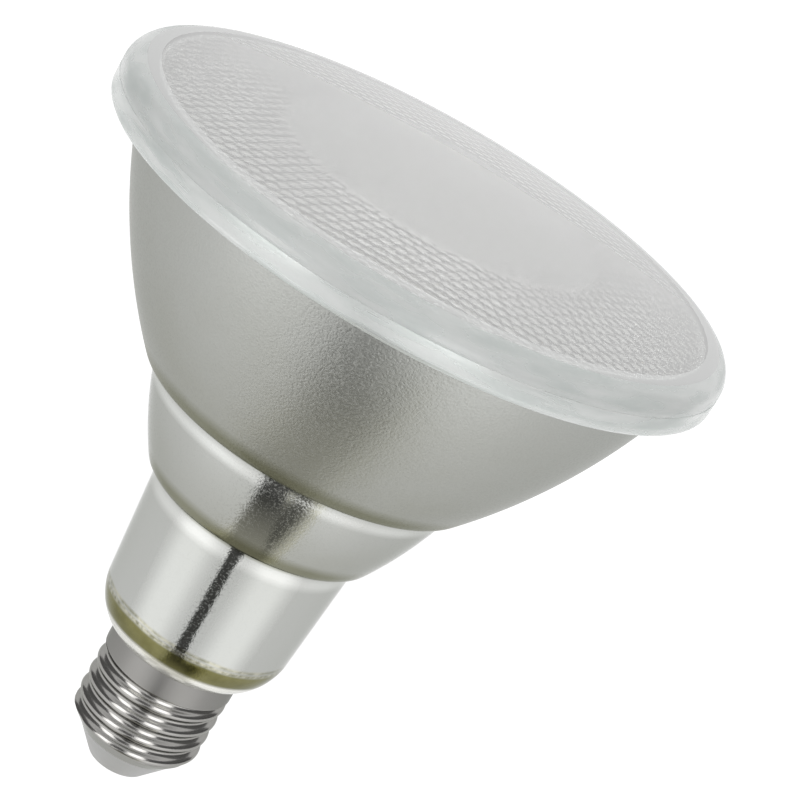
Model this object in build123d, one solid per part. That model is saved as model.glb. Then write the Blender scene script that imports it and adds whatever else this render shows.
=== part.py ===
from build123d import *
import math
import os

# Reflector lamp with a pressed glass body, cap down and lens up.
# Millimetres, axis on Z, origin at the face of the centre contact.

# Screw cap, from the contact up
cap_height = 28.25
contact_radius = 4.2
contact_thickness = 0.5
rivet_radius = 1.5
rivet_length = 10.75
insulator_tip_radius = 5.9
insulator_tip_round = 0.8
insulator_flange = 1.6
shell_lip_radius = 10.5
shell_lip_height = 6.3
shell_taper_height = 1.5
shell_wall = 0.35
collar_radius = 13.2
collar_height = 5.5
collar_round = 0.5
thread_crest_radius = 13.15
thread_depth = 1.1

# Pressed glass body, from the cap up
glass_wall = 2.8
spigot_length = 5.0
spigot_wall = 2.4
cement_thickness = 0.45
neck_foot_radius = 14.5
neck_foot_lean = 30.0
neck_foot_height = 8.2
neck_base_radius = 19.15
neck_top_radius = 21.08
neck_height = 32.75
neck_step = 2.07
flare_top_radius = 31.35
flare_height = 19.25
flare_arc_radius = 76.0
bowl_step = 1.8
bowl_height = 40.35
bowl_arc_radius = 119.0
step_round = 1.0
crease_round = 0.4
dish_ledge = 2.6
rim_radius = 60.5
flange_overhang = 5.6
dish_land = 6.6
flange_height = 4.3
flange_round = 1.4

# Lens and the adhesive that holds it
seal_thickness = 0.4
seal_recess = 0.35
lens_seat_width = 6.0
lens_rim_height = 4.3
lens_rim_side = 0.2
lens_dome = 3.5
lens_thickness = 3.6

# Light source and driver in the neck
sink_clearance = 0.3
sink_plate = 2.0
sink_wall = 1.2
sink_depth = 19.0
potting_recess = 3.0
board_margin = 2.2
board_thickness = 1.6
emitter_size = 3.5
emitter_height = 0.9
emitter_ring_radius = 9.0
emitter_count = 8
screw_circle_radius = 15.0
screw_count = 3
screw_radius = 1.1
screw_clearance = 0.2
screw_head_radius = 2.0
screw_head_height = 1.2
lead_radius = 0.8
lead_bend_radius = 4.0
lead_offset = 5.0
neutral_drop = 7.0

# Levels on the axis
shell_shoulder = shell_lip_height + shell_taper_height
sleeve_bottom = shell_shoulder + thread_depth
collar_bottom = cap_height - collar_height
spigot_bottom = cap_height - spigot_length
neck_foot_top = cap_height + neck_foot_height
neck_top = cap_height + neck_height
flare_top = neck_top + flare_height
bowl_top = flare_top + bowl_height
flange_top = bowl_top + flange_height
lens_bottom = flange_top + seal_thickness
lens_rim_top = lens_bottom + lens_rim_height
lens_rim_round = lens_rim_height - lens_rim_side
sink_seat = neck_top + glass_wall
dish_base = flare_top + glass_wall
board_bottom = sink_seat + sink_plate
board_top = board_bottom + board_thickness
sink_bottom = sink_seat - sink_depth
driver_bottom = sink_bottom + potting_recess
rivet_top = contact_thickness + rivet_length

# Radii that two pieces share
thread_root_radius = thread_crest_radius - thread_depth
shell_bore = thread_root_radius - shell_wall
lip_bore = shell_lip_radius - shell_wall
collar_bore = collar_radius - shell_wall
spigot_radius = collar_bore - cement_thickness
spigot_bore = spigot_radius - spigot_wall
lens_seat_radius = rim_radius - lens_seat_width
bowl_top_radius = rim_radius - flange_overhang
dish_mouth_radius = rim_radius - dish_land

# Inside of the glass: drafted neck, flare and the mirrored dish, a wall's thickness from the outside
neck_inner_base = (neck_base_radius - glass_wall, neck_foot_top)
neck_inner_top = (neck_top_radius - glass_wall, sink_seat)
flare_inner_base = (neck_top_radius + neck_step - glass_wall / 2, sink_seat)
flare_inner_top = (flare_top_radius - glass_wall, dish_base)
dish_low = (flare_inner_top[0] + dish_ledge, dish_base)
dish_high = (dish_mouth_radius, flange_top)
sink_radius = flare_inner_base[0] - sink_clearance
board_radius = sink_radius - board_margin


def outline(edges, rounds=()):
    """A closed face of radius and height, with the corners in rounds filleted."""
    face = make_face(edges)
    for corner, radius in rounds:
        near = face.vertices().sort_by_distance(Vector(corner[0], corner[1], 0))[0]
        face = fillet([near], radius)
    return make_face(face.edges())


def turned(face):
    """A solid turned about the lamp's axis."""
    return revolve(Plane.XZ * face, Axis.Z)


def ring(inner, outer, low, high):
    """A plain ring between two radii and two levels."""
    middle = Location((0, 0, (low + high) / 2))
    return middle * (Cylinder(outer, high - low) - Cylinder(inner, high - low))


def neck_inside(level):
    """Inner radius of the drafted neck at a level."""
    (r_low, z_low), (r_high, z_high) = neck_inner_base, neck_inner_top
    return r_low + (r_high - r_low) * (level - z_low) / (z_high - z_low)


def screw_places():
    """Centres of the board screws, evenly round the axis."""
    return PolarLocations(screw_circle_radius, screw_count)


def make_reflector():
    """Pressed glass body: spigot, rounded neck foot, two outer steps, parabolic dish and clear flange."""
    foot = (neck_foot_radius, cap_height)
    neck_base = (neck_base_radius, neck_foot_top)
    neck_end = (neck_top_radius, neck_top)
    flare_base = (neck_top_radius + neck_step, neck_top)
    flare_end = (flare_top_radius, flare_top)
    bowl_base = (flare_top_radius + bowl_step, flare_top)
    bowl_end = (bowl_top_radius, bowl_top)
    flange_low = (rim_radius, bowl_top)
    flange_high = (rim_radius, flange_top)
    throat = (spigot_bore, cap_height + glass_wall)
    draft = Vector(*neck_end) - Vector(*neck_base)
    lean = Vector(1, 0).rotate(Axis.Z, neck_foot_lean)

    # The dish is the parabola r * r = 4 f (z - vertex) through its lower and upper edges.
    four_f = (dish_high[0] ** 2 - dish_low[0] ** 2) / (dish_high[1] - dish_low[1])
    vertex = dish_base - dish_low[0] ** 2 / four_f
    dish_pole = ((dish_low[0] + dish_high[0]) / 2, vertex + dish_low[0] * dish_high[0] / four_f)

    edges = [
        Polyline((spigot_bore, spigot_bottom), (spigot_radius, spigot_bottom), (spigot_radius, cap_height), foot),
        Spline(foot, neck_base, tangents=[lean, draft]),
        Polyline(neck_base, neck_end, flare_base),
        RadiusArc(flare_base, flare_end, -flare_arc_radius),
        Line(flare_end, bowl_base),
        RadiusArc(bowl_base, bowl_end, -bowl_arc_radius),
        Polyline(bowl_end, flange_low, flange_high, dish_high),
        Bezier(dish_high, dish_pole, dish_low),
        Line(dish_low, flare_inner_top),
        RadiusArc(flare_inner_top, flare_inner_base, flare_arc_radius),
        Polyline(flare_inner_base, neck_inner_top, neck_inner_base),
        Spline(neck_inner_base, throat, tangents=[-draft, (-1, 0)]),
        Line(throat, (spigot_bore, spigot_bottom)),
    ]
    rounds = [
        (flare_base, step_round),
        (neck_end, crease_round),
        (bowl_base, step_round),
        (flare_end, crease_round),
        (flange_low, flange_round),
        (bowl_end, crease_round),
    ]
    return turned(outline(edges, rounds))


def make_front_lens():
    """Pressed glass cover: smooth dome, full round edge and a flat seat under the rim."""
    edge_radius = rim_radius - lens_rim_round
    crown = lens_rim_top + lens_dome
    sphere = (edge_radius ** 2 + lens_dome ** 2) / (2 * lens_dome)
    inner_sphere = sphere - lens_thickness
    inner_crown = crown - lens_thickness
    inner_edge = inner_crown - inner_sphere + math.sqrt(inner_sphere ** 2 - lens_seat_radius ** 2)
    rim_side = lens_bottom + lens_rim_side
    edges = [
        RadiusArc((0, crown), (edge_radius, lens_rim_top), sphere),
        RadiusArc((edge_radius, lens_rim_top), (rim_radius, rim_side), lens_rim_round),
        Polyline(
            (rim_radius, rim_side),
            (rim_radius, lens_bottom),
            (lens_seat_radius, lens_bottom),
            (lens_seat_radius, inner_edge),
        ),
        RadiusArc((lens_seat_radius, inner_edge), (0, inner_crown), -inner_sphere),
        Line((0, inner_crown), (0, crown)),
    ]
    return turned(outline(edges))


def make_lens_seal():
    """Line of adhesive between the flange and the lens, set back a little from the rim."""
    return ring(lens_seat_radius, rim_radius - seal_recess, flange_top, lens_bottom)


def make_heat_sink():
    """Drawn aluminium cup: its plate lies on the glass ledge, its skirt follows the drafted neck."""
    skirt_top = neck_inside(sink_seat) - sink_clearance
    skirt_end = neck_inside(sink_bottom) - sink_clearance
    cup = turned(outline([
        Polyline(
            (0, sink_seat),
            (skirt_top - sink_wall, sink_seat),
            (skirt_end - sink_wall, sink_bottom),
            (skirt_end, sink_bottom),
            (skirt_top, sink_seat),
            (sink_radius, sink_seat),
            (sink_radius, board_bottom),
            (0, board_bottom),
            close=True,
        ),
    ]))
    for place in screw_places():
        cup -= Pos(0, 0, sink_seat + sink_plate / 2) * place * Cylinder(screw_radius, sink_plate)
    return cup


def make_led_board():
    """Round metal-core board with clearance holes for its screws."""
    middle = Pos(0, 0, (board_bottom + board_top) / 2)
    board = middle * Cylinder(board_radius, board_thickness)
    for place in screw_places():
        board -= middle * place * Cylinder(screw_radius + screw_clearance, board_thickness)
    return board


def make_led_emitters():
    """Light-emitting packages: flat squares on the board, one in the middle and a ring round it."""
    package = Pos(0, 0, board_top + emitter_height / 2) * Box(emitter_size, emitter_size, emitter_height)
    ring_places = [place * package for place in PolarLocations(emitter_ring_radius, emitter_count)]
    return Compound(children=[package] + ring_places)


def make_board_screws():
    """Pan-head screws through the board into the cup's plate."""
    shank_length = board_thickness + sink_plate
    shank = Pos(0, 0, board_top - shank_length / 2) * Cylinder(screw_radius, shank_length)
    head = Pos(0, 0, board_top + screw_head_height / 2) * Cylinder(screw_head_radius, screw_head_height)
    head = chamfer(head.edges().group_by(Axis.Z)[-1], screw_head_height / 2)
    screw = shank + head
    return Compound(children=[place * screw for place in screw_places()])


def make_driver_module():
    """Supply electronics potted in the cup, one plain block that fills it."""
    wall = sink_clearance + sink_wall
    return turned(outline([
        Polyline(
            (0, driver_bottom),
            (neck_inside(driver_bottom) - wall, driver_bottom),
            (neck_inside(sink_seat) - wall, sink_seat),
            (0, sink_seat),
            close=True,
        ),
    ]))


def make_lead(points):
    """Insulated wire along straight runs joined by bends."""
    path = FilletPolyline(*points, radius=lead_bend_radius)
    section = Plane(path @ 0, z_dir=path % 0) * Circle(lead_radius)
    return sweep(section, path)


def make_live_lead():
    """Wire from the driver down to the rivet of the centre contact."""
    return make_lead([
        (-lead_offset, 0, driver_bottom),
        (-lead_offset, 0, cap_height),
        (0, 0, (cap_height + rivet_top) / 2),
        (0, 0, rivet_top),
    ])


def make_neutral_lead():
    """Wire from the driver through the spigot to the inside of the shell."""
    level = spigot_bottom - neutral_drop
    reach = math.sqrt(shell_bore ** 2 - lead_radius ** 2)
    return make_lead([(lead_offset, 0, driver_bottom), (lead_offset, 0, level), (reach, 0, level)])


def make_cap_cement():
    """Ring of cement between the glass spigot and the collar of the shell."""
    return ring(spigot_radius, collar_bore, spigot_bottom, cap_height)


def make_screw_shell():
    """Sheet-metal shell: plain collar, sleeve that carries the thread and a lower edge turned in over the insulator."""
    collar_start = collar_bottom + collar_round
    return turned(outline([
        Polyline(
            (shell_lip_radius, shell_lip_height),
            (thread_crest_radius, sleeve_bottom),
            (thread_crest_radius, collar_bottom),
            (collar_radius, collar_start),
            (collar_radius, cap_height),
            (collar_bore, cap_height),
            (collar_bore, spigot_bottom),
            (shell_bore, spigot_bottom),
            (shell_bore, shell_shoulder),
            (lip_bore, shell_lip_height),
            close=True,
        ),
    ]))


def make_cap_insulator():
    """Moulded cone in the end of the shell, with a flange behind the turned-in edge."""
    top = shell_shoulder + insulator_flange
    tip = (insulator_tip_radius, contact_thickness)
    return turned(outline(
        [
            Polyline(
                (rivet_radius, contact_thickness),
                tip,
                (shell_lip_radius, shell_lip_height),
                (lip_bore, shell_lip_height),
                (shell_bore, shell_shoulder),
                (shell_bore, top),
                (rivet_radius, top),
                close=True,
            ),
        ],
        [(tip, insulator_tip_round)],
    ))


def make_centre_contact():
    """Riveted contact: a low round head under the insulator and a stem through it."""
    head = Pos(0, 0, contact_thickness / 2) * Cylinder(contact_radius, contact_thickness)
    head = fillet(head.edges().group_by(Axis.Z)[0], contact_thickness / 2)
    stem = Pos(0, 0, contact_thickness + rivet_length / 2) * Cylinder(rivet_radius, rivet_length)
    return head + stem


pieces = {
    "front_lens": make_front_lens(),
    "lens_seal": make_lens_seal(),
    "reflector": make_reflector(),
    "heat_sink": make_heat_sink(),
    "led_board": make_led_board(),
    "led_emitters": make_led_emitters(),
    "board_screws": make_board_screws(),
    "driver_module": make_driver_module(),
    "live_lead": make_live_lead(),
    "neutral_lead": make_neutral_lead(),
    "cap_cement": make_cap_cement(),
    "screw_shell": make_screw_shell(),
    "cap_insulator": make_cap_insulator(),
    "centre_contact": make_centre_contact(),
}

os.makedirs("parts", exist_ok=True)
for node, solid in pieces.items():
    export_step(solid, f"parts/{node}.step")
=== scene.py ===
import bmesh
import bpy
import math
from mathutils import Matrix, Vector


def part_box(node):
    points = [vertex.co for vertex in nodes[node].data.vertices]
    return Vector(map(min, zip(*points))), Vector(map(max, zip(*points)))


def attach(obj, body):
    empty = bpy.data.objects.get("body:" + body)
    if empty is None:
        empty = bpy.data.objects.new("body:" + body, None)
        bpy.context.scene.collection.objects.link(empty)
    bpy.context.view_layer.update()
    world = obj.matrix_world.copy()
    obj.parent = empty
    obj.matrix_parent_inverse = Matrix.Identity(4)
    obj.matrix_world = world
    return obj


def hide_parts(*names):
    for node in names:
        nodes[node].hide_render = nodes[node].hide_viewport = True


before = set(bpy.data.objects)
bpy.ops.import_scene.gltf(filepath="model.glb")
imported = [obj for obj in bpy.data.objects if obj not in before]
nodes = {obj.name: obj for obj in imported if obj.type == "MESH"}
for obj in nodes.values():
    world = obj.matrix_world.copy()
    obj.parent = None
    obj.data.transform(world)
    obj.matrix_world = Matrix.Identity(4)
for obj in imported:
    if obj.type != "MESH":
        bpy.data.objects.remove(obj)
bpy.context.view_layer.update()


# Reflector: the lamp's body, one piece of pressed glass. Its inside is coated with aluminium, so the wall
# shows as satin silver from outside, and only the flange at the rim is bare glass. The wall has two steps,
# a rounded foot and a spigot that is cemented into the cap.

MM = 0.001
TURN_STEPS = 192

body_low, body_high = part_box("reflector")
cap_low, cap_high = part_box("screw_shell")
rim_radius = body_high.x
flange_top = body_high.z
spigot_bottom = body_low.z
cap_top = cap_high.z
glass_wall = 2.8 * MM
spigot_radius = 12.4 * MM
spigot_bore = 10.0 * MM
foot_radius = 14.5 * MM
foot_lean = math.radians(30)
neck_base = Vector((19.15 * MM, cap_top + 8.2 * MM))
neck_end = Vector((21.08 * MM, cap_top + 32.75 * MM))
flare_base = neck_end + Vector((2.07 * MM, 0))
flare_end = Vector((31.35 * MM, neck_end.y + 19.25 * MM))
flare_arc = 76 * MM
bowl_base = flare_end + Vector((1.8 * MM, 0))
bowl_end = Vector((rim_radius - 5.6 * MM, flange_top - 4.3 * MM))
bowl_arc = 119 * MM
dish_mouth = Vector((rim_radius - 6.6 * MM, flange_top))
dish_base = Vector((31.15 * MM, flare_end.y + glass_wall))
step_round = 1.0 * MM
crease_round = 0.4 * MM
flange_round = 1.4 * MM
bevel_steps = 5
foot_points = 14
neck_points = 6
flare_points = 12
bowl_points = 24
dish_points = 28
weld_gap = 0.002 * MM
ring_gap = 0.05 * MM


def arc(start, end, radius, count):
    """Points after start on an arc to end that bulges to the right of its way."""
    chord = end - start
    side = Vector((chord.y, -chord.x)).normalized()
    rise = radius - math.sqrt(radius ** 2 - (chord.length / 2) ** 2)
    centre = (start + end) / 2 + side * (rise - radius)
    turn = 2 * math.asin(chord.length / 2 / radius)
    points = []
    for step in range(1, count + 1):
        swing = Matrix.Rotation(turn * step / count, 2)
        points.append(centre + swing @ (start - centre))
    return points


def bezier(start, first, second, end, count):
    """Points after start on a cubic curve with two handles."""
    points = []
    for step in range(1, count + 1):
        share = step / count
        rest = 1 - share
        points.append(
            start * rest ** 3
            + first * 3 * rest ** 2 * share
            + second * 3 * rest * share ** 2
            + end * share ** 3
        )
    return points


def start_piece(name):
    """A new piece in edit mode, as one vertex at the origin."""
    bpy.ops.object.select_all(action="DESELECT")
    bpy.ops.mesh.primitive_plane_add(size=MM)
    piece = bpy.context.object
    piece.name = name
    piece.data.name = name
    bpy.ops.object.mode_set(mode="EDIT")
    bpy.ops.mesh.select_mode(type="VERT")
    bpy.ops.mesh.select_all(action="SELECT")
    bpy.ops.mesh.merge(type="CENTER")
    return piece


def draw_section(points):
    """Extrudes the selected vertex through points of radius and height."""
    here = Vector((0, 0, 0))
    for count, point in enumerate(points):
        there = Vector((point[0], 0, point[1]))
        if count == 0:
            bpy.ops.transform.translate(value=there)
        else:
            bpy.ops.mesh.extrude_vertices_move(TRANSFORM_OT_translate={"value": there - here})
        here = there


def spin_section():
    """Turns the drawn section once round the lamp's axis and closes the seam and the poles."""
    bpy.ops.mesh.select_all(action="SELECT")
    bpy.ops.mesh.spin(steps=TURN_STEPS, angle=math.tau, center=(0, 0, 0), axis=(0, 0, 1))
    bpy.ops.mesh.select_all(action="SELECT")
    bpy.ops.mesh.remove_doubles(threshold=weld_gap)
    bpy.ops.mesh.normals_make_consistent(inside=False)


def pick_ring(piece, radius, level):
    """Selects the ring of edges at one radius and height."""
    bpy.ops.mesh.select_mode(type="EDGE")
    bpy.ops.mesh.select_all(action="DESELECT")
    mesh = bmesh.from_edit_mesh(piece.data)
    for edge in mesh.edges:
        on_ring = True
        for vertex in edge.verts:
            near_radius = abs(vertex.co.xy.length - radius) < ring_gap
            on_ring = on_ring and near_radius and abs(vertex.co.z - level) < ring_gap
        edge.select_set(on_ring)
    mesh.select_flush_mode()
    bmesh.update_edit_mesh(piece.data)


def end_piece(smooth_angle):
    """Leaves edit mode with the piece shaded smooth up to an angle."""
    bpy.ops.object.mode_set(mode="OBJECT")
    bpy.ops.object.shade_smooth_by_angle(angle=math.radians(smooth_angle))


foot = Vector((foot_radius, cap_top))
foot_handle = (neck_base - foot).length / 3
lean = Vector((math.cos(foot_lean), math.sin(foot_lean)))
draft = (neck_end - neck_base).normalized()
flange_low = Vector((rim_radius, bowl_end.y))
flange_high = Vector((rim_radius, flange_top))
flare_inner_top = Vector((flare_end.x - glass_wall, dish_base.y))
flare_inner_base = Vector((flare_base.x - glass_wall / 2, neck_end.y + glass_wall))
neck_inner_top = Vector((neck_end.x - glass_wall, flare_inner_base.y))
neck_inner_base = Vector((neck_base.x - glass_wall, neck_base.y))
throat = Vector((spigot_bore, cap_top + glass_wall))
four_focus = (dish_mouth.x ** 2 - dish_base.x ** 2) / (dish_mouth.y - dish_base.y)

section = [Vector((spigot_bore, spigot_bottom)), Vector((spigot_radius, spigot_bottom))]
section += [Vector((spigot_radius, cap_top)), foot]
section += bezier(foot, foot + lean * foot_handle, neck_base - draft * foot_handle, neck_base, foot_points)
section += [neck_base.lerp(neck_end, step / neck_points) for step in range(1, neck_points + 1)]
section += [flare_base] + arc(flare_base, flare_end, flare_arc, flare_points)
section += [bowl_base] + arc(bowl_base, bowl_end, bowl_arc, bowl_points)
section += [flange_low, flange_high, dish_mouth]
for step in range(1, dish_points + 1):
    radius = dish_mouth.x + (dish_base.x - dish_mouth.x) * step / dish_points
    section.append(Vector((radius, dish_base.y + (radius ** 2 - dish_base.x ** 2) / four_focus)))
section += [flare_inner_top, flare_inner_base, neck_inner_top, neck_inner_base, throat, section[0]]

reflector = start_piece("reflector_glass")
draw_section(section)
spin_section()
for corner, size in (
    (neck_end, crease_round),
    (flare_base, step_round),
    (flare_end, crease_round),
    (bowl_base, step_round),
    (bowl_end, crease_round),
    (flange_low, flange_round),
):
    pick_ring(reflector, corner.x, corner.y)
    bpy.ops.mesh.bevel(offset=size, segments=bevel_steps, affect="EDGES")
end_piece(smooth_angle=35)


def new_finish(name):
    """A new material with its node tree and its Principled shader."""
    material = bpy.data.materials.new(name)
    material.use_nodes = True
    return material, material.node_tree, material.node_tree.nodes["Principled BSDF"]


def new_group(name, inputs, outputs):
    """A shader node group with named sockets, and its two end nodes."""
    group = bpy.data.node_groups.new(name, "ShaderNodeTree")
    for socket, value in inputs.items():
        made = group.interface.new_socket(socket, in_out="INPUT", socket_type="NodeSocketFloat")
        made.default_value = value
    for socket in outputs:
        group.interface.new_socket(socket, in_out="OUTPUT", socket_type="NodeSocketFloat")
    return group, group.nodes.new("NodeGroupInput"), group.nodes.new("NodeGroupOutput")


def place_group(tree, group, **values):
    """Puts a node group into a material with its own values."""
    node = tree.nodes.new("ShaderNodeGroup")
    node.node_tree = group
    for socket, value in values.items():
        node.inputs[socket].default_value = value
    return node


def blend_colour(tree, mask, first, second):
    """Mixes two colours, or a socket and a colour, by a mask."""
    mix = tree.nodes.new("ShaderNodeMix")
    mix.data_type = "RGBA"
    tree.links.new(mask, mix.inputs["Factor"])
    for name, colour in (("A", first), ("B", second)):
        slot = next(s for s in mix.inputs if s.name == name and s.type == "RGBA")
        if isinstance(colour, tuple):
            slot.default_value = (*colour, 1)
        else:
            tree.links.new(colour, slot)
    return next(s for s in mix.outputs if s.type == "RGBA")


def map_value(tree, source, low, high):
    """Stretches a value from 0..1 to low..high."""
    node = tree.nodes.new("ShaderNodeMapRange")
    tree.links.new(source, node.inputs["Value"])
    node.inputs["To Min"].default_value = low
    node.inputs["To Max"].default_value = high
    return node.outputs["Result"]


def spread(tree, source, low, high):
    """Stretches a value so that low..high fills 0..1."""
    node = tree.nodes.new("ShaderNodeMapRange")
    tree.links.new(source, node.inputs["Value"])
    node.inputs["From Min"].default_value = low
    node.inputs["From Max"].default_value = high
    return node.outputs["Result"]


def raise_bump(tree, shader, height, strength, distance):
    """Feeds a height into the shader's normal."""
    bump = tree.nodes.new("ShaderNodeBump")
    bump.inputs["Strength"].default_value = strength
    bump.inputs["Distance"].default_value = distance
    tree.links.new(height, bump.inputs["Height"])
    tree.links.new(bump.outputs["Normal"], shader.inputs["Normal"])


# Pebbled skin that the press leaves on the glass: grain for relief and slow clouds for colour.
pebbles, ends_in, ends_out = new_group(
    "pressed_pebbles", {"Grain": 2400, "Clouds": 30}, ("Height", "Cloud")
)
place = pebbles.nodes.new("ShaderNodeTexCoord")
for socket, output, detail in (("Grain", "Height", 2), ("Clouds", "Cloud", 4)):
    noise = pebbles.nodes.new("ShaderNodeTexNoise")
    noise.inputs["Detail"].default_value = detail
    pebbles.links.new(place.outputs["Object"], noise.inputs["Vector"])
    pebbles.links.new(ends_in.outputs[socket], noise.inputs["Scale"])
    pebbles.links.new(noise.outputs["Fac"], ends_out.inputs[output])


def reckon(tree, operation, first, second):
    """A math node on two sockets or numbers."""
    node = tree.nodes.new("ShaderNodeMath")
    node.operation = operation
    for slot, value in zip(node.inputs, (first, second)):
        if isinstance(value, (int, float)):
            slot.default_value = value
        else:
            tree.links.new(value, slot)
    return node.outputs[0]


# Band round the lamp's axis between two levels, with soft edges that waver as the glass does.
band, ends_in, ends_out = new_group(
    "level_band", {"Low": 0, "High": 0.01, "Soft": 0.001, "Waver": 0, "Waves": 90}, ("Mask",)
)
place = band.nodes.new("ShaderNodeTexCoord")
split = band.nodes.new("ShaderNodeSeparateXYZ")
band.links.new(place.outputs["Object"], split.inputs["Vector"])
noise = band.nodes.new("ShaderNodeTexNoise")
band.links.new(place.outputs["Object"], noise.inputs["Vector"])
band.links.new(ends_in.outputs["Waves"], noise.inputs["Scale"])
swing = reckon(band, "SUBTRACT", noise.outputs["Fac"], 0.5)
sway = reckon(band, "MULTIPLY", swing, ends_in.outputs["Waver"])
level = reckon(band, "ADD", split.outputs["Z"], sway)
masks = []
for over in (
    reckon(band, "SUBTRACT", level, ends_in.outputs["Low"]),
    reckon(band, "SUBTRACT", ends_in.outputs["High"], level),
):
    edge = reckon(band, "ADD", reckon(band, "DIVIDE", over, ends_in.outputs["Soft"]), 0.5)
    edge.node.use_clamp = True
    masks.append(edge)
band.links.new(reckon(band, "MULTIPLY", *masks), ends_out.inputs["Mask"])

silver_grey = (0.465, 0.475, 0.46)
silver_warm = (0.435, 0.44, 0.415)
# Painted shade: darker tones low on the bowl and on the flare, fading upwards.
painted_shade_grey = (0.345, 0.348, 0.322)
painted_shade_warm = (0.325, 0.327, 0.295)
# Painted highlights: pale bands just below the top creases of the neck and of the flare.
painted_glint_pale = (0.60, 0.61, 0.59)
painted_glint_grey = (0.55, 0.555, 0.535)
# Olive of thick glass at the steps and creases, darkened there by painted shade.
olive_and_shade_edge = (0.205, 0.205, 0.15)
olive_and_shade_deep = (0.17, 0.17, 0.115)
foot_olive = (0.185, 0.175, 0.068)
foot_moss = (0.115, 0.108, 0.03)
# Pale band on the bare glass of the foot: cement behind the glass, brightened by a painted sheen.
pearl_sheen_pale = (0.88, 0.87, 0.82)
pearl_sheen_grey = (0.70, 0.69, 0.64)
seam_pale = (0.42, 0.41, 0.33)
seam_dark = (0.19, 0.185, 0.12)
edge_tint = (0.62, 0.63, 0.61, 1)
patch_low = 0.38
patch_high = 0.62
grain_low = 0.48
grain_high = 0.64
coat_roughness = 0.05
bare_reach = 20 * MM
bare_soft = 1.0 * MM
bare_waver = 0.6 * MM
bare_metal = 0.6


def silvered(name, tone, roughness, speck, grain, relief, coat, bands, bare_top=None):
    """Aluminium seen through pressed glass: satin metal with pebbles, olive where the glass is thick, with
    painted shade at the creases, painted highlights below them and painted shade low down.

    Below bare_top the glass has no metal and shows the pale cement behind it, brightened by a painted
    sheen.
    """
    material, tree, shader = new_finish(name)
    skin = place_group(tree, pebbles, Grain=grain)
    grey = tuple(tone * part for part in silver_grey)
    warm = tuple(tone * part for part in silver_warm)
    colour = blend_colour(tree, skin.outputs["Cloud"], grey, warm)
    for low, high, soft, waver, spots, first, second in bands:
        mask = place_group(tree, band, Low=low, High=high, Soft=soft, Waver=waver)
        patches = place_group(tree, pebbles, Clouds=spots)
        spotted = spread(tree, patches.outputs["Cloud"], patch_low, patch_high)
        tint = blend_colour(tree, spotted, first, second)
        colour = blend_colour(tree, mask.outputs["Mask"], colour, tint)
    tree.links.new(colour, shader.inputs["Base Color"])
    shader.inputs["Metallic"].default_value = 1
    if bare_top is not None:
        bare = place_group(
            tree, band, Low=bare_top - bare_reach, High=bare_top, Soft=bare_soft, Waver=bare_waver
        )
        tree.links.new(map_value(tree, bare.outputs["Mask"], 1, bare_metal), shader.inputs["Metallic"])
    shader.inputs["Specular Tint"].default_value = edge_tint
    shader.inputs["Coat Weight"].default_value = coat
    shader.inputs["Coat Roughness"].default_value = coat_roughness
    grains = spread(tree, skin.outputs["Height"], grain_low, grain_high)
    tree.links.new(map_value(tree, grains, roughness, speck), shader.inputs["Roughness"])
    raise_bump(tree, shader, skin.outputs["Height"], strength=1, distance=relief)
    return material


# A band is its lowest and highest level, the softness and waver of its edges, its patches and two colours.
bowl_bands = [
    # painted shade, fading up from the bowl's foot
    (bowl_base.y - 30 * MM, bowl_base.y + 22 * MM, 40 * MM, 0, 60, painted_shade_grey, painted_shade_warm),
    # olive glass at the bowl's step, with painted shade
    (bowl_base.y - 1.0 * MM, bowl_base.y + 3.4 * MM, 2.6 * MM, 0.5 * MM, 60, olive_and_shade_edge, olive_and_shade_deep),
]
flare_bands = [
    # painted shade, fading up from the flare's foot
    (flare_base.y - 20 * MM, flare_base.y + 9.5 * MM, 17 * MM, 0, 60, painted_shade_grey, painted_shade_warm),
    # olive glass at the flare's step, with painted shade
    (flare_base.y - 1.0 * MM, flare_base.y + 3.1 * MM, 2.0 * MM, 0.5 * MM, 60, olive_and_shade_edge, olive_and_shade_deep),
    # painted highlight just below the flare's top crease
    (flare_end.y - 3.2 * MM, flare_end.y - 1.1 * MM, 1.4 * MM, 0.3 * MM, 60, painted_glint_pale, painted_glint_grey),
    # olive glass at the flare's top crease, with painted shade
    (flare_end.y - 0.4 * MM, flare_end.y + 2.0 * MM, 0.8 * MM, 0.3 * MM, 60, olive_and_shade_edge, olive_and_shade_deep),
]
seam_band = (cap_top + 7.3 * MM, cap_top + 7.9 * MM, 0.5 * MM, 0.9 * MM, 1000, seam_pale, seam_dark)
# Olive glass with painted shade, specked pale, where the foot meets the neck.
seam_line = (cap_top + 8.2 * MM, cap_top + 8.8 * MM, 0.6 * MM, 0.9 * MM, 500, olive_and_shade_edge, seam_pale)
neck_bands = [
    seam_line,
    # painted highlight just below the neck's top crease
    (neck_end.y - 3.6 * MM, neck_end.y - 1.2 * MM, 1.6 * MM, 0.3 * MM, 60, painted_glint_pale, painted_glint_grey),
    # olive glass at the neck's top crease, with painted shade
    (neck_end.y - 0.8 * MM, neck_end.y + 2.0 * MM, 0.8 * MM, 0.3 * MM, 60, olive_and_shade_edge, olive_and_shade_deep),
]
pearl_top = cap_top + 3.5 * MM
foot_bands = [
    # pale bare glass, partly painted sheen
    (cap_top - 1.0 * MM, pearl_top, 1.0 * MM, 0.6 * MM, 120, pearl_sheen_pale, pearl_sheen_grey),
    (pearl_top, cap_top + 7.3 * MM, 0.9 * MM, 0.9 * MM, 160, foot_olive, foot_moss),
    seam_band,
    seam_line,
]
bowl_silver = silvered(
    "satin_bowl", tone=0.87, roughness=0.32, speck=0.42,
    grain=2200, relief=0.06 * MM, coat=0.2, bands=bowl_bands,
)
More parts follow.
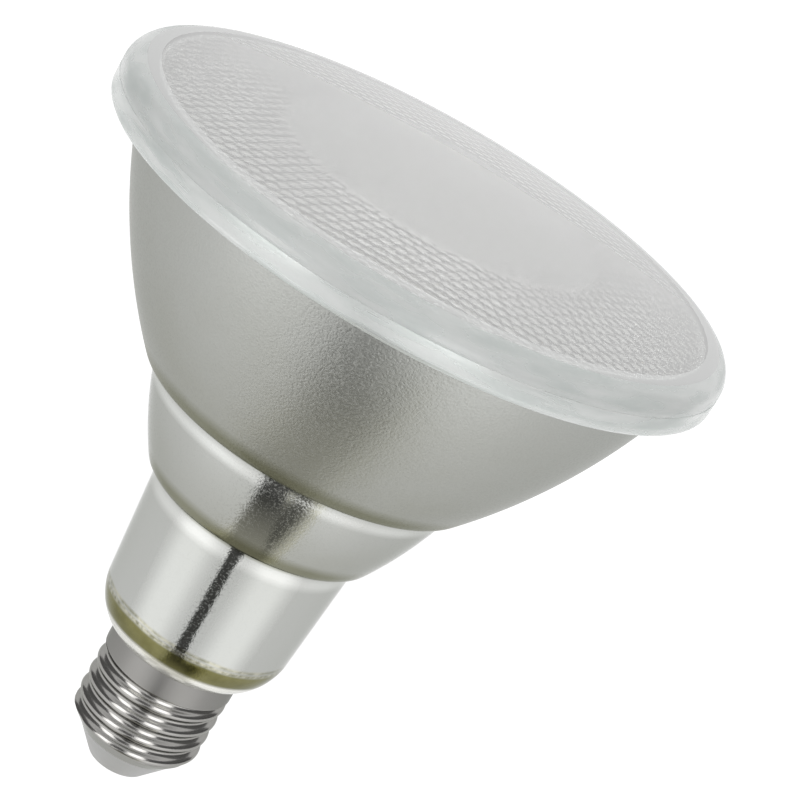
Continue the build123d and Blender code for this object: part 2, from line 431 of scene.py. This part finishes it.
flare_silver = silvered(
    "satin_flare", tone=0.91, roughness=0.09, speck=0.26,
    grain=2400, relief=0.018 * MM, coat=0.3, bands=flare_bands,
)
neck_silver = silvered(
    "bright_neck", tone=0.93, roughness=0.035, speck=0.20,
    grain=2800, relief=0.010 * MM, coat=0.5, bands=neck_bands,
)
foot_silver = silvered(
    "olive_foot", tone=0.85, roughness=0.18, speck=0.22,
    grain=2200, relief=0.03 * MM, coat=0.4, bands=foot_bands, bare_top=pearl_top,
)

mirror_pale = (0.95, 0.95, 0.94)
mirror_grey = (0.92, 0.93, 0.92)
mirror_rough = 0.075
dish_mirror, tree, shader = new_finish("mirrored_dish")
skin = place_group(tree, pebbles, Grain=900)
silver = blend_colour(tree, skin.outputs["Cloud"], mirror_pale, mirror_grey)
tree.links.new(silver, shader.inputs["Base Color"])
shader.inputs["Metallic"].default_value = 1
shader.inputs["Roughness"].default_value = mirror_rough
raise_bump(tree, shader, skin.outputs["Height"], strength=0.15, distance=0.1 * MM)

# Streaks that run round the rim of pressed glass: slow along it and quick across it.
streaks, ends_in, ends_out = new_group("rim_streaks", {"Along": 5, "Across": 500}, ("Streak",))
place = streaks.nodes.new("ShaderNodeTexCoord")
split = streaks.nodes.new("ShaderNodeSeparateXYZ")
streaks.links.new(place.outputs["Object"], split.inputs["Vector"])
spoke = streaks.nodes.new("ShaderNodeCombineXYZ")
streaks.links.new(split.outputs["X"], spoke.inputs["X"])
streaks.links.new(split.outputs["Y"], spoke.inputs["Y"])
bearing = streaks.nodes.new("ShaderNodeVectorMath")
bearing.operation = "NORMALIZE"
streaks.links.new(spoke.outputs["Vector"], bearing.inputs[0])
around = streaks.nodes.new("ShaderNodeVectorMath")
around.operation = "SCALE"
streaks.links.new(bearing.outputs["Vector"], around.inputs[0])
streaks.links.new(ends_in.outputs["Along"], around.inputs["Scale"])
rise = streaks.nodes.new("ShaderNodeCombineXYZ")
climb = reckon(streaks, "MULTIPLY", split.outputs["Z"], ends_in.outputs["Across"])
streaks.links.new(climb, rise.inputs["Z"])
course = streaks.nodes.new("ShaderNodeVectorMath")
streaks.links.new(around.outputs["Vector"], course.inputs[0])
streaks.links.new(rise.outputs["Vector"], course.inputs[1])
noise = streaks.nodes.new("ShaderNodeTexNoise")
noise.inputs["Scale"].default_value = 1
noise.inputs["Detail"].default_value = 3
streaks.links.new(course.outputs["Vector"], noise.inputs["Vector"])
streaks.links.new(noise.outputs["Fac"], ends_out.inputs["Streak"])

glass_ior = 1.5
streak_low = 0.35
streak_high = 0.65
streak_relief = 0.05 * MM
rim_smooth = 0.20
rim_rough = 0.34


def rim_glass(name, pale, green, clear, mirror):
    """Thick glass at the rim: cloudy and a little green, streaked, with a share of the mirror behind it."""
    material, tree, shader = new_finish(name)
    flow = place_group(tree, streaks)
    mask = spread(tree, flow.outputs["Streak"], streak_low, streak_high)
    tree.links.new(blend_colour(tree, mask, pale, green), shader.inputs["Base Color"])
    shader.inputs["Metallic"].default_value = mirror
    shader.inputs["Transmission Weight"].default_value = clear
    shader.inputs["IOR"].default_value = glass_ior
    tree.links.new(map_value(tree, mask, rim_smooth, rim_rough), shader.inputs["Roughness"])
    raise_bump(tree, shader, flow.outputs["Streak"], strength=1, distance=streak_relief)
    return material


flange_pale = (0.79, 0.81, 0.795)
flange_green = (0.66, 0.70, 0.68)
flange_glass = rim_glass("bare_flange_glass", flange_pale, flange_green, clear=0.2, mirror=0.3)

dish_margin = 0.1 * MM
step_margin = 0.2 * MM
flange_margin = 0.3 * MM
BOWL, FLARE, NECK, FOOT, DISH, FLANGE = range(6)
for finish in (bowl_silver, flare_silver, neck_silver, foot_silver, dish_mirror, flange_glass):
    reflector.data.materials.append(finish)
for face in reflector.data.polygons:
    radius = face.center.xy.length
    level = face.center.z
    inside_dish = radius < dish_mouth.x and level > dish_base.y - dish_margin and face.normal.z > 0
    if inside_dish:
        face.material_index = DISH
    elif level > bowl_end.y - flange_margin:
        face.material_index = FLANGE
    elif level > flare_end.y + step_margin:
        face.material_index = BOWL
    elif level > neck_end.y + step_margin:
        face.material_index = FLARE
    elif level > neck_base.y:
        face.material_index = NECK
    else:
        face.material_index = FOOT
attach(reflector, "root")
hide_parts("reflector")


# Light source in the neck: a drawn aluminium cup on the ledge of the glass, with a white board, its
# light-emitting packages and three screws. The driver is potted in the cup, and two wires lead down
# into the cap, where cement holds the spigot.

fine_clouds = 160
fine_relief = 0.05 * MM
rough_spread = 0.2


def plain_finish(name, colour, second, metallic, roughness, grain, relief):
    """A solid finish with slow clouds in its colour and fine relief."""
    material, tree, shader = new_finish(name)
    skin = place_group(tree, pebbles, Grain=grain, Clouds=fine_clouds)
    tree.links.new(blend_colour(tree, skin.outputs["Cloud"], colour, second), shader.inputs["Base Color"])
    shader.inputs["Metallic"].default_value = metallic
    low = roughness * (1 - rough_spread)
    high = roughness * (1 + rough_spread)
    tree.links.new(map_value(tree, skin.outputs["Cloud"], low, high), shader.inputs["Roughness"])
    raise_bump(tree, shader, skin.outputs["Height"], strength=relief, distance=fine_relief)
    return material


def dress(node, *finish):
    """Gives a solid of the frame a plain finish: name, two colours, metal, roughness, grain and relief."""
    nodes[node].data.materials.clear()
    nodes[node].data.materials.append(plain_finish(*finish))


dress("heat_sink", "drawn_aluminium", (0.72, 0.73, 0.74), (0.66, 0.67, 0.68), 1, 0.35, 1800, 0.15)
dress("led_board", "white_solder_mask", (0.82, 0.82, 0.80), (0.78, 0.78, 0.75), 0, 0.38, 1500, 0.1)
dress("led_emitters", "yellow_phosphor", (0.85, 0.62, 0.12), (0.80, 0.55, 0.10), 0, 0.30, 2500, 0.1)
dress("board_screws", "zinc_screws", (0.62, 0.62, 0.60), (0.54, 0.55, 0.55), 1, 0.30, 2500, 0.1)
dress("driver_module", "potting_compound", (0.015, 0.015, 0.017), (0.03, 0.03, 0.03), 0, 0.45, 800, 0.3)
dress("live_lead", "red_insulation", (0.45, 0.02, 0.015), (0.38, 0.02, 0.015), 0, 0.42, 2000, 0.1)
dress("neutral_lead", "black_insulation", (0.012, 0.012, 0.012), (0.02, 0.02, 0.02), 0, 0.42, 2000, 0.1)
dress("cap_cement", "basing_cement", (0.52, 0.46, 0.34), (0.45, 0.40, 0.30), 0, 0.85, 1200, 0.6)


# Front lens: a pressed glass cover with a smooth dome outside. Inside it has a field of six-sided bumps
# round a plain frosted middle. It sits on the flange, and adhesive holds it there.

lens_low, lens_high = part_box("front_lens")
lens_seat = rim_radius - 6.0 * MM
lens_edge_side = 0.2 * MM
lens_edge_round = 4.1 * MM
lens_crown = lens_high.z
lens_dome = 3.5 * MM
lens_thickness = 3.6 * MM
dome_rings = 12
bump_pitch = 2.7 * MM
bump_depth = 0.34 * MM
plain_middle = 31 * MM
plain_border = 53.8 * MM
milky_border = 54.9 * MM
bump_fade = 1.0 * MM
edge_steps = 12
cell_cuts = 3
cell_weld = 0.02 * MM
cell_radius = bump_pitch / math.sqrt(3)
row_gap = bump_pitch * math.sqrt(3)
edge_centre = rim_radius - lens_edge_round
sphere = (edge_centre ** 2 + lens_dome ** 2) / (2 * lens_dome)
inner_sphere = sphere - lens_thickness
inner_crown = lens_crown - lens_thickness


def sag(radius, ball):
    """Fall of a ball's surface below its pole at a radius."""
    return ball - math.sqrt(ball ** 2 - radius ** 2)


bpy.ops.object.select_all(action="DESELECT")
bpy.ops.mesh.primitive_circle_add(vertices=6, radius=cell_radius, fill_type="TRIFAN")
lens = bpy.context.object
lens.name = "front_lens_glass"
lens.data.name = lens.name
bpy.ops.object.mode_set(mode="EDIT")
bpy.ops.mesh.subdivide(number_cuts=cell_cuts)
cell = bmesh.from_edit_mesh(lens.data)
for vertex in cell.verts:
    vertex.co.z = -bump_depth * (1 - (vertex.co.xy.length / cell_radius) ** 2)
bmesh.update_edit_mesh(lens.data)
bpy.ops.mesh.select_all(action="SELECT")
bpy.ops.mesh.duplicate_move(TRANSFORM_OT_translate={"value": (bump_pitch / 2, row_gap / 2, 0)})
bpy.ops.object.mode_set(mode="OBJECT")
columns = math.ceil(lens_seat / bump_pitch) + 1
rows = math.ceil(lens_seat / row_gap) + 1
for name, count, step in (("columns", columns, (bump_pitch, 0, 0)), ("rows", rows, (0, row_gap, 0))):
    row = lens.modifiers.new(name, "ARRAY")
    row.count = 2 * count + 1
    row.use_relative_offset = False
    row.use_constant_offset = True
    row.constant_offset_displace = step
    bpy.ops.object.modifier_apply(modifier=name)
bpy.ops.object.mode_set(mode="EDIT")
bpy.ops.mesh.select_all(action="SELECT")
bpy.ops.transform.translate(value=(-columns * bump_pitch, -rows * row_gap, 0))
bpy.ops.mesh.remove_doubles(threshold=cell_weld)
bpy.ops.mesh.select_mode(type="VERT")
field = bmesh.from_edit_mesh(lens.data)
groove = field.verts.layers.float.new("groove")
for vertex in field.verts:
    radius = vertex.co.xy.length
    vertex.select_set(radius > lens_seat)
    share = min(radius - plain_middle, plain_border - radius) / bump_fade
    share = min(max(share, 0), 1)
    vertex[groove] = share * (1 + vertex.co.z / bump_depth)
    vertex.co.z = inner_crown + share * vertex.co.z - sag(min(radius, lens_seat), inner_sphere)
field.select_flush_mode()
bmesh.update_edit_mesh(lens.data)
bpy.ops.mesh.delete(type="VERT")


def pick_rim(piece):
    """Selects the open edges of a piece."""
    bpy.ops.mesh.select_mode(type="EDGE")
    bpy.ops.mesh.select_all(action="DESELECT")
    mesh = bmesh.from_edit_mesh(piece.data)
    for edge in mesh.edges:
        edge.select_set(edge.is_boundary)
    mesh.select_flush_mode()
    bmesh.update_edit_mesh(piece.data)


def set_ring(piece, radius, level):
    """Puts the selected vertices on a ring round the lamp's axis."""
    mesh = bmesh.from_edit_mesh(piece.data)
    for vertex in mesh.verts:
        if vertex.select:
            vertex.co.xy = vertex.co.xy.normalized() * radius
            vertex.co.z = level
    bmesh.update_edit_mesh(piece.data)


def extrude_rings(piece, rings):
    """Extrudes the selected rim through rings of radius and height."""
    for radius, level in rings:
        bpy.ops.mesh.extrude_region_move()
        set_ring(piece, radius, level)


lens_side = [(lens_seat, lens_low.z), (rim_radius, lens_low.z), (rim_radius, lens_low.z + lens_edge_side)]
for step in range(1, edge_steps + 1):
    angle = math.radians(90) * step / edge_steps
    lens_side.append((
        edge_centre + lens_edge_round * math.cos(angle),
        lens_low.z + lens_edge_side + lens_edge_round * math.sin(angle),
    ))
for radius in [milky_border] + [edge_centre * (1 - step / dome_rings) for step in range(1, dome_rings)]:
    lens_side.append((radius, lens_crown - sag(radius, sphere)))
pick_rim(lens)
set_ring(lens, lens_seat, inner_crown - sag(lens_seat, inner_sphere))
extrude_rings(lens, lens_side)
bpy.ops.mesh.extrude_region_move()
bpy.ops.mesh.merge(type="CENTER")
set_ring(lens, 0, lens_crown)
bpy.ops.mesh.select_all(action="SELECT")
bpy.ops.mesh.normals_make_consistent(inside=False)
end_piece(smooth_angle=50)

shade_share = 0.97
groove_low = 0.45
groove_high = 0.8
ripple_height = 0.004 * MM


def lens_glass(name, roughness, clear, tint, groove_shade_tint=None):
    """Pressed glass, clear or milky, with slow ripples and painted shade in the grooves between its bumps.
    """
    material, tree, shader = new_finish(name)
    skin = place_group(tree, pebbles, Grain=120, Clouds=60)
    shade = tuple(shade_share * part for part in tint)
    colour = blend_colour(tree, skin.outputs["Cloud"], tint, shade)
    # painted shade in the grooves between the bumps
    if groove_shade_tint is not None:
        grooves = tree.nodes.new("ShaderNodeAttribute")
        grooves.attribute_name = "groove"
        mask = spread(tree, grooves.outputs["Fac"], groove_low, groove_high)
        colour = blend_colour(tree, mask, colour, groove_shade_tint)
    tree.links.new(colour, shader.inputs["Base Color"])
    shader.inputs["Transmission Weight"].default_value = clear
    shader.inputs["IOR"].default_value = glass_ior
    low = roughness * (1 - rough_spread)
    high = roughness * (1 + rough_spread)
    tree.links.new(map_value(tree, skin.outputs["Cloud"], low, high), shader.inputs["Roughness"])
    raise_bump(tree, shader, skin.outputs["Height"], strength=1, distance=ripple_height)
    return material


dome_tint = (0.99, 0.99, 0.98)
bump_tint = (1, 1, 0.99)
# Painted shade in the grooves between the lens's bumps.
groove_shade_tint = (0.04, 0.04, 0.038)
middle_tint = (0.98, 0.98, 0.97)
border_tint = (0.95, 0.96, 0.95)
rim_pale = (0.82, 0.84, 0.825)
rim_green = (0.69, 0.73, 0.71)
DOME, BUMPS, MIDDLE, BORDER, LENS_RIM = range(5)
for finish in (
    lens_glass("hazy_lens_dome", roughness=0.04, clear=0.61, tint=dome_tint),
    lens_glass("satin_lens_bumps", roughness=0.08, clear=1, tint=bump_tint, groove_shade_tint=groove_shade_tint),
    lens_glass("frosted_lens_middle", roughness=0.55, clear=1, tint=middle_tint),
    lens_glass("milky_lens_border", roughness=0.08, clear=0.4, tint=border_tint),
    rim_glass("lens_rim_glass", rim_pale, rim_green, clear=0.2, mirror=0),
):
    lens.data.materials.append(finish)
rim_start = edge_centre + 0.8 * MM
seat_start = lens_seat - 0.2 * MM
steep_limit = 0.5
for face in lens.data.polygons:
    radius = face.center.xy.length
    if radius > rim_start or (radius > seat_start and face.normal.z < steep_limit):
        face.material_index = LENS_RIM
    elif radius > milky_border and face.normal.z > 0:
        face.material_index = BORDER
    elif face.normal.z > 0:
        face.material_index = DOME
    elif radius > plain_middle:
        face.material_index = BUMPS
    else:
        face.material_index = MIDDLE
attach(lens, "root")
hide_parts("front_lens")


# Seal: a thin line of clear adhesive between lens and flange, laid on as a bead. It has cured nearly flush
# with the rim, holds the lens and keeps the dish closed.

seal_edge = rim_radius - 0.05 * MM
seal = start_piece("seal_bead")
draw_section([
    (lens_seat, flange_top),
    (seal_edge, flange_top),
    (seal_edge, lens_low.z),
    (lens_seat, lens_low.z),
    (lens_seat, flange_top),
])
spin_section()
end_piece(smooth_angle=35)
seal.data.materials.append(rim_glass("cured_adhesive", rim_pale, rim_green, clear=0.2, mirror=0))
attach(seal, "root")
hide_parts("lens_seal")


# Screw cap: a shell of sheet metal, nickel plated, with a rolled right-handed thread under a plain collar.
# Its lower edge is turned in over a moulded insulator, and a contact is riveted through the middle.

thread_pitch = 25.4 / 7 * MM
thread_crest = 13.15 * MM
thread_root = 12.05 * MM
thread_steps = 128
thread_points = 16
thread_lead = 2.25
cut_gap = 0.001 * MM
taper_steps = 4
collar_steps = 6
shell_smooth = math.radians(40)
front_crest = cap_low.z + 2.92 * MM
taper_height = 2.8 * MM
collar_level = cap_top - 5.5 * MM
collar_radius = cap_high.x
collar_round = 0.5 * MM
lip_radius = 10.5 * MM
shell_wall = 0.35 * MM
half_pitch = thread_pitch / 2
knuckle_slope = 2 * math.atan((thread_crest - thread_root) / half_pitch)
knuckle_arc = half_pitch / (2 * math.sin(knuckle_slope))
taper_slope = (thread_crest - lip_radius) / taper_height
taper_top = cap_low.z + (thread_root - lip_radius) / taper_slope


def knuckle(share):
    """Radius of the thread at a share of its pitch: crest and root arcs of one size."""
    from_crest = abs(share - 0.5) * thread_pitch
    if from_crest < half_pitch / 2:
        return thread_crest - knuckle_arc + math.sqrt(knuckle_arc ** 2 - from_crest ** 2)
    return thread_root + knuckle_arc - math.sqrt(knuckle_arc ** 2 - (half_pitch - from_crest) ** 2)


thread_start = front_crest - thread_lead * thread_pitch
turns = math.ceil((collar_level - thread_start) / thread_pitch) + 1
shell = start_piece("screw_shell_nickel")
draw_section([
    (knuckle(step / thread_points), thread_start + thread_pitch * step / thread_points)
    for step in range(thread_points + 1)
])
bpy.ops.object.mode_set(mode="OBJECT")
thread = shell.modifiers.new("thread", "SCREW")
thread.steps = thread_steps
thread.render_steps = thread_steps
thread.iterations = turns
thread.screw_offset = thread_pitch
bpy.ops.object.modifier_apply(modifier="thread")
bpy.ops.object.mode_set(mode="EDIT")
bpy.ops.mesh.select_all(action="SELECT")
bpy.ops.mesh.remove_doubles(threshold=weld_gap)
for level, cut_low in ((taper_top, True), (collar_level, False)):
    bpy.ops.mesh.select_all(action="SELECT")
    bpy.ops.mesh.bisect(
        plane_co=(0, 0, level),
        plane_no=(0, 0, 1),
        clear_inner=cut_low,
        clear_outer=not cut_low,
        threshold=cut_gap,
    )
rolled = bmesh.from_edit_mesh(shell.data)
for vertex in rolled.verts:
    limit = lip_radius + taper_slope * (vertex.co.z - cap_low.z)
    if vertex.co.xy.length > limit:
        vertex.co.xy = vertex.co.xy.normalized() * limit
bmesh.update_edit_mesh(shell.data)


def pick_rim_at(piece, level):
    """Selects the open edges of a piece at one level."""
    pick_rim(piece)
    mesh = bmesh.from_edit_mesh(piece.data)
    for edge in mesh.edges:
        if edge.select and abs(edge.verts[0].co.z - level) > ring_gap:
            edge.select_set(False)
    mesh.select_flush_mode()
    bmesh.update_edit_mesh(piece.data)


taper = []
for step in range(1, taper_steps + 1):
    level = taper_top + (cap_low.z - taper_top) * step / taper_steps
    taper.append((lip_radius + taper_slope * (level - cap_low.z), level))
pick_rim_at(shell, taper_top)
extrude_rings(shell, taper)
collar = []
for step in range(collar_steps + 1):
    angle = math.radians(90) * step / collar_steps
    collar.append((
        collar_radius - collar_round + collar_round * math.sin(angle),
        collar_level + collar_round - collar_round * math.cos(angle),
    ))
collar.append((collar_radius, cap_top))
pick_rim_at(shell, collar_level)
extrude_rings(shell, collar)
bpy.ops.mesh.select_all(action="SELECT")
bpy.ops.mesh.normals_make_consistent(inside=False)
bpy.ops.object.mode_set(mode="OBJECT")
wall = shell.modifiers.new("wall", "SOLIDIFY")
wall.thickness = shell_wall
wall.offset = -1
bpy.ops.object.modifier_apply(modifier="wall")
bpy.ops.object.shade_smooth_by_angle(angle=shell_smooth)

# The collar above the thread is darker and rougher than the thread.
burnished = (0.36, 0.353, 0.34)
darker_collar_nickel = (0.25, 0.245, 0.235)
worn_share = 0.9
burnished_rough = 0.18
drawn_rough = 0.34
nickel, tree, shader = new_finish("bright_nickel")
skin = place_group(tree, pebbles, Grain=1500, Clouds=fine_clouds)
on_collar = place_group(tree, band, Low=collar_level + 0.3 * MM, High=cap_top + 1.0 * MM, Soft=0.5 * MM)
worn = tuple(worn_share * part for part in burnished)
clouded = blend_colour(tree, skin.outputs["Cloud"], burnished, worn)
plating = blend_colour(tree, on_collar.outputs["Mask"], clouded, darker_collar_nickel)
tree.links.new(plating, shader.inputs["Base Color"])
rough = map_value(tree, on_collar.outputs["Mask"], burnished_rough, drawn_rough)
tree.links.new(rough, shader.inputs["Roughness"])
shader.inputs["Metallic"].default_value = 1
shader.inputs["Specular Tint"].default_value = edge_tint
raise_bump(tree, shader, skin.outputs["Height"], strength=0.02, distance=fine_relief)
shell.data.materials.append(nickel)
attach(shell, "root")
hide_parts("screw_shell")

dress("cap_insulator", "pale_insulator", (0.40, 0.40, 0.39), (0.37, 0.37, 0.36), 0, 0.42, 900, 0.12)
dress("centre_contact", "worn_contact", (0.60, 0.57, 0.50), (0.48, 0.45, 0.39), 1, 0.35, 900, 0.2)


# Studio: a pale floor well below the lamp, a white surround, and boards that the camera doesn't see: soft
# panels, lit windows in dark screens, pale cards that keep the windows out of the lens, and on the floor
# a dark strip and a dim mat. The camera looks down on the lamp, rolled to the left.

floor_level = -0.45
floor_size = 12.0
floor_grey = (0.8, 0.8, 0.8, 1)
floor_rough = 0.9
floor_glow = 0.40
surround_light = 0.85
surround_seen = 1.0
pure_white = (1, 1, 1, 1)
near_black = (0.02, 0.02, 0.02, 1)
no_colour = (0, 0, 0, 1)
cloth_core = 0.2
panel_distance = 0.5
panel_width = 0.62
panel_low = -0.44
panel_high = -0.17
panel_glow = 1.6
panel_edge_glow = 1.15
panel_bearings = (math.radians(-42), math.radians(52))
window_distance = 0.8
window_low = -0.12
window_high = 0.75
window_glow = 3.4
window_edge_glow = 0.8 * window_glow
window_bearings = (math.radians(-36), math.radians(25))
window_widths = (0.42, 0.44)
screen_distance = 1.0
screen_width = 1.15
screen_low = -0.16
screen_high = 0.9
screen_glow = 0.13
screen_bearings = [math.radians(angle) for angle in (-100, -42, 0, 42, 100)]
card_distance = 0.1
card_width = 0.06
card_low = 0.128
card_high = 0.255
card_glow = 0.75
card_bearings = [math.radians(angle) for angle in (-64, -32, 0, 32, 64)]
strip_bearing = math.radians(1.2)
strip_aside = 0.022
strip_width = 0.165
strip_far = 1.2
strip_near = -0.1
strip_rise = 0.002
strip_fade_far = -0.32
strip_fade_near = -0.10
strip_dark = 0.02
strip_pale = 0.5
mat_bearing = math.radians(30)
mat_width = 0.26
mat_far = 0.42
mat_near = -0.12
mat_rise = 0.001
mat_dim = 0.1
mat_edge = 1.1
warm_tint = (1, 0.98, 0.84, 1)
camera_lens = 120.47
camera_sensor = 36
camera_near = 0.01
camera_tilt = math.radians(70.61)
camera_roll = math.radians(30.475)
camera_place = (0.01218, -0.45869, 0.25443)

bpy.ops.object.select_all(action="DESELECT")
bpy.ops.mesh.primitive_plane_add(size=floor_size, location=(0, 0, floor_level))
floor = bpy.context.object
floor.name = "studio_floor"


def seen_white(tree):
    """1 for rays from the camera and through gloss or glass, 0 for the rest."""
    path = tree.nodes.new("ShaderNodeLightPath")
    total = path.outputs["Is Camera Ray"]
    for name in ("Is Glossy Ray", "Is Transmission Ray"):
        total = reckon(tree, "MAXIMUM", total, path.outputs[name])
    return total


floor_paint, tree, shader = new_finish("floor_paint")
shader.inputs["Base Color"].default_value = floor_grey
shader.inputs["Roughness"].default_value = floor_rough
shader.inputs["Emission Color"].default_value = pure_white
tree.links.new(map_value(tree, seen_white(tree), 0.0, floor_glow), shader.inputs["Emission Strength"])
floor.data.materials.append(floor_paint)

world = bpy.data.worlds.new("white_surround")
world.use_nodes = True
background = world.node_tree.nodes["Background"]
background.inputs["Color"].default_value = pure_white
strength = map_value(world.node_tree, seen_white(world.node_tree), surround_light, surround_seen)
world.node_tree.links.new(strength, background.inputs["Strength"])
bpy.context.scene.world = world


def stand_board(name, bearing, distance, width, low, high):
    """An upright board of the studio that the camera doesn't see and that throws no shadow."""
    bpy.ops.object.select_all(action="DESELECT")
    bpy.ops.mesh.primitive_plane_add(size=1, rotation=(math.radians(90), 0, 0))
    board = bpy.context.object
    board.name = name
    bpy.ops.object.transform_apply(location=False, rotation=True, scale=False)
    bpy.ops.object.mode_set(mode="EDIT")
    bpy.ops.transform.resize(value=(width, 1, high - low))
    bpy.ops.transform.translate(value=(0, -distance, (low + high) / 2))
    bpy.ops.object.mode_set(mode="OBJECT")
    board.rotation_euler.z = bearing
    board.visible_camera = False
    board.visible_shadow = False
    return board


def lit_cloth(name, glow, edge_glow, width, tint=pure_white):
    """Cloth that glows by one strength in the middle and by another at its sides."""
    material, tree, shader = new_finish(name)
    place = tree.nodes.new("ShaderNodeTexCoord")
    split = tree.nodes.new("ShaderNodeSeparateXYZ")
    tree.links.new(place.outputs["Object"], split.inputs["Vector"])
    reach = reckon(tree, "DIVIDE", reckon(tree, "ABSOLUTE", split.outputs["X"], 0), width / 2)
    fall = tree.nodes.new("ShaderNodeMapRange")
    fall.interpolation_type = "SMOOTHSTEP"
    tree.links.new(reach, fall.inputs["Value"])
    fall.inputs["From Min"].default_value = cloth_core
    fall.inputs["To Min"].default_value = glow
    fall.inputs["To Max"].default_value = edge_glow
    shader.inputs["Base Color"].default_value = no_colour
    shader.inputs["Emission Color"].default_value = tint
    tree.links.new(fall.outputs["Result"], shader.inputs["Emission Strength"])
    return material


panel_cloth = lit_cloth("lit_panel_cloth", panel_glow, panel_edge_glow, panel_width)
for bearing in panel_bearings:
    panel = stand_board("lit_panel", bearing, panel_distance, panel_width, panel_low, panel_high)
    panel.data.materials.append(panel_cloth)
for bearing, width in zip(window_bearings, window_widths):
    window = stand_board("lit_window", bearing, window_distance, width, window_low, window_high)
    window.visible_diffuse = False
    window.visible_transmission = False
    window.data.materials.append(lit_cloth("lit_window_cloth", window_glow, window_edge_glow, width))

dark_cloth, tree, shader = new_finish("dark_cloth")
shader.inputs["Base Color"].default_value = near_black
shader.inputs["Emission Color"].default_value = pure_white
shader.inputs["Emission Strength"].default_value = screen_glow
for bearing in screen_bearings:
    screen = stand_board("dark_screen", bearing, screen_distance, screen_width, screen_low, screen_high)
    screen.visible_diffuse = False
    screen.visible_transmission = False
    screen.data.materials.append(dark_cloth)

pale_card, tree, shader = new_finish("pale_card")
shader.inputs["Base Color"].default_value = no_colour
shader.inputs["Emission Color"].default_value = pure_white
shader.inputs["Emission Strength"].default_value = card_glow
for bearing in card_bearings:
    card = stand_board("lens_card", bearing, card_distance, card_width, card_low, card_high)
    card.visible_diffuse = False
    card.visible_transmission = False
    card.data.materials.append(pale_card)


def lay_strip(name, bearing, aside, width, far, near, rise):
    """A strip just over the floor that only gloss and glass show."""
    bpy.ops.object.select_all(action="DESELECT")
    bpy.ops.mesh.primitive_plane_add(size=1)
    strip = bpy.context.object
    strip.name = name
    bpy.ops.object.mode_set(mode="EDIT")
    bpy.ops.transform.resize(value=(width, far - near, 1))
    bpy.ops.transform.translate(value=(aside, -(far + near) / 2, floor_level + rise))
    bpy.ops.object.mode_set(mode="OBJECT")
    strip.rotation_euler.z = bearing
    strip.visible_camera = False
    strip.visible_shadow = False
    strip.visible_diffuse = False
    return strip


mat = lay_strip("dim_mat", mat_bearing, 0, mat_width, mat_far, mat_near, mat_rise)
mat.data.materials.append(lit_cloth("dim_mat_cloth", mat_dim, mat_edge, mat_width, warm_tint))
strip = lay_strip("dark_strip", strip_bearing, strip_aside, strip_width, strip_far, strip_near, strip_rise)
strip_cloth, tree, shader = new_finish("dark_strip_cloth")
place = tree.nodes.new("ShaderNodeTexCoord")
split = tree.nodes.new("ShaderNodeSeparateXYZ")
tree.links.new(place.outputs["Object"], split.inputs["Vector"])
fade = spread(tree, split.outputs["Y"], strip_fade_far, strip_fade_near)
shader.inputs["Base Color"].default_value = near_black
shader.inputs["Emission Color"].default_value = warm_tint
tree.links.new(map_value(tree, fade, strip_dark, strip_pale), shader.inputs["Emission Strength"])
strip.data.materials.append(strip_cloth)

camera = bpy.data.objects.new("camera", bpy.data.cameras.new("camera"))
bpy.context.scene.collection.objects.link(camera)
camera.data.sensor_width = camera_sensor
camera.data.lens = camera_lens
turn = Matrix.Rotation(camera_tilt, 4, "X") @ Matrix.Rotation(camera_roll, 4, "Z")
camera.matrix_world = Matrix.Translation(camera_place) @ turn
camera.data.clip_start = camera_near
bpy.context.scene.camera = camera
bpy.context.scene.view_settings.view_transform = "Standard"
